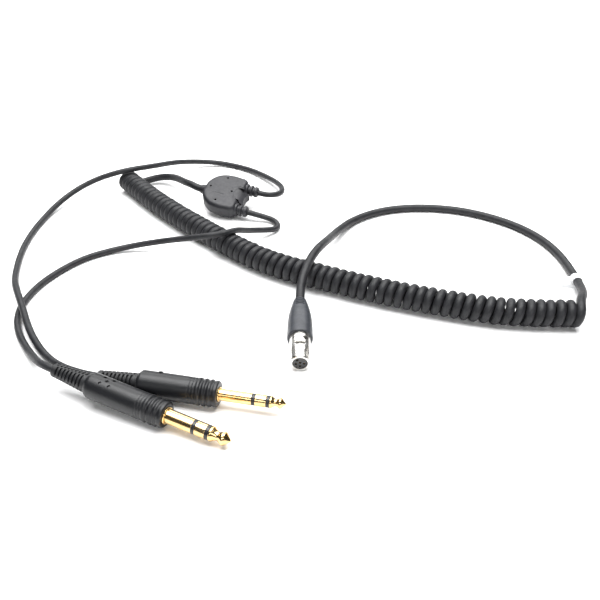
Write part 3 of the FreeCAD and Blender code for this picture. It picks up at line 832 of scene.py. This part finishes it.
def build_shell():
    turns = [math.radians(degrees) for degrees in range(0, 91, 9)]
    rim = [(CONNECTOR_L - 1.0 + 1.0 * math.sin(turn), SHELL_NOSE_R - 1.0 + 1.0 * math.cos(turn))
           for turn in turns]
    profile = [(20, SHELL_BORE_R), (20, SHELL_TAIL_R), (BOOT_L - 0.4, SHELL_TAIL_R),
               (BOOT_L - 0.4, SHELL_R), (33, SHELL_R), (37, SHELL_R),
               (SHELL_STEP - 0.3, SHELL_R), (SHELL_STEP + 0.5, SHELL_NOSE_R)]
    shell = turned(profile + rim + [(CONNECTOR_L, SHELL_BORE_R)], True, 128)
    window = box(WINDOW_X, SHELL_STEP, -WINDOW_HALF, WINDOW_HALF, 0.5, 9)
    screw_hole = spoke(SCREW_X, SCREW_ANGLE, 0.5, 9, 1.4, 48)
    key = rotated(box(38.5, CONNECTOR_L - 0.6, -0.28, 0.28, SHELL_R - 0.5, 9), -42)
    piece("connector_barrel", carved(shell, [window, screw_hole, key]), CONNECTOR, NICKEL,
          ["connector_shell"], edge=0.12)


def build_latch():
    """The rocker follows the shell's curve. Its rear end dips, and a small pad has two notches."""
    half = ROCKER_HALF
    shape = [(35.3, 4.0), (35.6, 4.02), (35.9, 4.1), (36.3, 4.5), (36.6, 4.84), (36.8, 4.88),
             (37.0, 5.02), (38.3, 5.02), (38.5, 4.9), (39.2, 4.9), (40, 4.9), (40.5, 4.88),
             (40.8, 4.78)]
    loops = []
    for x, r in shape:
        arc = [half * (k / 8 - 1) for k in range(17)]
        loops.append([(x, y, math.sqrt(r * r - y * y)) for y in arc]
                     + [(x, half, 3.6), (x, -half, 3.6)])
    notches = [box(36.7, 37.9, side * 1.0 - 0.16, side * 1.0 + 0.16, 4.7, 6) for side in (-1, 1)]
    slot = box(37.8, 38.15, -1.16, 1.16, 4.78, 6)
    pin_hole = moved(rotated(rod(-3, 3, 0.35, 24), 90, "Z"), LATCH_PIN_X, 0, 4.2)
    body = carved(lofted(loops), notches + [slot, pin_hole])
    piece("connector_rocker", body, CONNECTOR, NICKEL, ["connector_latch"],
          LATCH, edge=0.05)


def build_screw():
    head = spoke(SCREW_X, SCREW_ANGLE, 2.7, 3.45, 1.2, 40)
    groove = rotated(box(SCREW_X - 1.3, SCREW_X + 1.3, -0.22, 0.22, 3.05, 6), -SCREW_ANGLE)
    piece("connector_grub_screw", carved(head, [groove]), CONNECTOR, DARK_STEEL,
          ["connector_screw"], edge=0.06)


# ---- junction ----
def bowed(a, b, c, count):
    """Points from a towards c on the circle through a, b and c, without c."""
    (ax, ay), (bx, by), (cx, cy) = a, b, c
    squares = [x * x + y * y for x, y in (a, b, c)]
    x_parts = (by - cy, cy - ay, ay - by)
    y_parts = (cx - bx, ax - cx, bx - ax)
    divisor = 2 * sum(x * part for x, part in zip((ax, bx, cx), x_parts))
    middle_x = sum(square * part for square, part in zip(squares, x_parts)) / divisor
    middle_y = sum(square * part for square, part in zip(squares, y_parts)) / divisor
    radius = math.hypot(ax - middle_x, ay - middle_y)
    start, through, end = [math.atan2(y - middle_y, x - middle_x) for x, y in (a, b, c)]
    sweep = (end - start) % (2 * math.pi)
    if (through - start) % (2 * math.pi) > sweep:
        sweep -= 2 * math.pi
    return [(middle_x + radius * math.cos(start + sweep * k / count),
             middle_y + radius * math.sin(start + sweep * k / count)) for k in range(count)]


def junction_outline():
    """The plan outline: rounded from the inlet round each side, with a hollow between the outlets."""
    half = bowed((-13, 3), (-9.4, 10.4), (-1.5, 14.2), 14)
    half += bowed((-1.5, 14.2), (3, 14.6), (7.5, 14.2), 8)
    half += bowed((7.5, 14.2), (10.9, 13.2), (12, 11.2), 8)
    half += [(12, 11.2 - k) for k in range(6)]
    notch = bowed((12, 5), (8.8, 0), (12, -5), 12)
    mirrored = [(x, -y) for x, y in reversed(half)]
    return half + notch + mirrored + [(-13, -3), (-13, -1), (-13, 1)]


def inset_outline(outline, distance):
    moved_points = []
    count = len(outline)
    for k in range(count):
        before = Vector(outline[k - 1])
        here = Vector(outline[k])
        after = Vector(outline[(k + 1) % count])
        first = (here - before).normalized()
        second = (after - here).normalized()
        normal = Vector((first.y + second.y, -first.x - second.x)).normalized()
        stretch = 1 / max(0.6, normal.dot(Vector((first.y, -first.x))))
        moved_points.append(tuple(here + normal * distance * stretch))
    return moved_points


def junction_slab():
    """The body: rounded rims and a slightly crowned top and underside."""
    half = JUNCTION_T / 2
    outline = junction_outline()
    upper = []
    for degrees in range(0, 91, 15):
        angle = math.radians(degrees)
        inset = JUNCTION_RIM * (1 - math.cos(angle))
        z = half - JUNCTION_CROWN - JUNCTION_RIM * (1 - math.sin(angle))
        upper.append([(x, y, z) for x, y in inset_outline(outline, inset)])
    top = upper[-1]
    for share in (0.85, 0.65, 0.42, 0.2):
        z = half - JUNCTION_CROWN * share * share
        upper.append([(share * x, share * y, z) for x, y, _ in top])
    upper.append([(0, 0, half)])
    lower = [[(x, y, -z) for x, y, z in loop] for loop in reversed(upper)]
    return lofted(lower + upper)


def junction_outlet(side):
    """A ribbed strain relief: a narrow waist at its root, then two rounded ribs."""
    y = side * JUNCTION_OUTLET_Y
    profile = [(8.5, 0), (8.5, 3.95), (12.6, 3.9), (12.9, 3.7), (13.2, 2.7), (14.2, 2.65),
               (14.5, 3.45), (14.8, 3.65), (15.6, 3.62), (15.9, 3.4), (16.1, 2.6), (16.9, 2.55),
               (17.2, 3.2), (17.5, 3.45), (18.6, 3.35), (19.1, 3.1), (JUNCTION_OUTLET_X, 2.6),
               (JUNCTION_OUTLET_X, 0)]
    return turned(profile, count=64, y=y)


def junction_slopes():
    """What is cut away above the web, between the outlets."""
    half = JUNCTION_T / 2
    slopes = ((7.4, half, 12.01, 2.2, 4.7), (12, 2.2, 17, -1.4, 6.1))
    return [lofted([[(x0, y, half + 2), (x0, y, z0), (x1, y, z1), (x1, y, half + 2)]
                    for y in (-reach, reach)]) for x0, z0, x1, z1, reach in slopes]


def build_junction():
    half = JUNCTION_T / 2
    pits = [moved(rotated(rod(0, 3, PIT_R, 32), -90, "Y"), x, y, half - PIT_DEPTH)
            for x, y in ((-9.0, 0), (5.4, 0), (-1.4, 10), (-1.4, -10))]
    seam = [box(-8.5, 2.0, -4.35, -4.1, half - 0.2, half + 1)]
    body = carved(junction_slab(), [*junction_slopes(), *pits, *seam])
    web_plan = [(7, -5), (15, -4.9)] + bowed((15, -4.9), (13.6, 0), (15, 4.9), 8)[1:]
    web_plan += [(15, 4.9), (7, 5)]
    web = lofted([[(x, y, z) for x, y in web_plan] for z in (1 - half, half - 0.6)])
    web = carved(web, junction_slopes())
    collar = turned([(JUNCTION_INLET_X, 0), (JUNCTION_INLET_X, 2.75), (JUNCTION_INLET_X + 0.3, 2.95),
                     (-14.2, 3.1), (-12.4, 3.7), (-10, 4.0), (-10, 0)], count=64)
    whole = together(body, web, collar, junction_outlet(1), junction_outlet(-1))
    piece("junction_shell", whole, JUNCTION, JUNCTION_PLASTIC,
          ["junction_overmould"], sharp=40)


# ---- the CAD nodes that stay ----
def paint_nodes():
    endings = {
        "_cord_end": JACKET, "_cord_ends": JACKET, "_cord_clamp": STEEL, "_terminals": STEEL,
        "_wires": COPPER, "_contacts": CONTACT_GOLD, "_insert": INSERT, "_latch_pin": STEEL,
        "_latch_spring": STEEL, "_core": CORE, "_splices": STEEL,
    }
    for name, node in NODES.items():
        for ending, material in endings.items():
            if name.endswith(ending):
                node.data.materials.clear()
                node.data.materials.append(material)


# ---- floor and light ----
def add_stage():
    mesh = bmesh.new()
    bmesh.ops.create_grid(mesh, x_segments=8, y_segments=8, size=4.0)
    data = bpy.data.meshes.new("floor")
    mesh.to_mesh(data)
    mesh.free()
    data.materials.append(floor_paper())
    floor = bpy.data.objects.new("floor", data)
    floor.location.z = -0.0001
    bpy.context.scene.collection.objects.link(floor)


def add_softbox(name, place, target, size, power):
    data = bpy.data.lights.new(name, "AREA")
    data.shape = "RECTANGLE"
    data.size, data.size_y = size
    data.energy = power
    light = bpy.data.objects.new(name, data)
    light.location = place
    light.rotation_euler = (Vector(target) - Vector(place)).to_track_quat("-Z", "Y").to_euler()
    light.visible_camera = False
    bpy.context.scene.collection.objects.link(light)


def add_light():
    world = bpy.data.worlds.new("studio")
    world.use_nodes = True
    world.node_tree.nodes["Background"].inputs["Color"].default_value = (0.90, 0.94, 1.0, 1)
    world.node_tree.nodes["Background"].inputs["Strength"].default_value = 0.03
    bpy.context.scene.world = world
    add_softbox("overhead", (0.05, 0.15, 1.2), (0.05, 0.05, 0), (1.5, 1.1), 42)
    add_softbox("back", (0.0, 1.2, 0.8), (0.0, 0.1, 0), (2.0, 0.5), 14)
    add_softbox("front", (0.05, -1.3, 0.9), (0.05, 0.0, 0), (1.6, 0.35), 8)
    bpy.context.scene.view_settings.view_transform = "Standard"


add_camera()
build_cords()
plug("headphone", HEADPHONE, HEADPHONE_L, radii=(3.0, 4.35), rear_r=5.1, metal_r=3.175,
     metal_l=30.2, bands=(13.0, 14.6, 19.3, 20.9), mark="dimples")
plug("microphone", MICROPHONE, MICROPHONE_L, radii=(2.9, 4.1), rear_r=4.6, metal_r=2.615,
     metal_l=29.4, bands=(14.7, 16.2, 21.0, 22.5), mark="nub")
build_boot()
build_shell()
build_latch()
build_screw()
build_junction()
paint_nodes()
add_stage()
add_light()
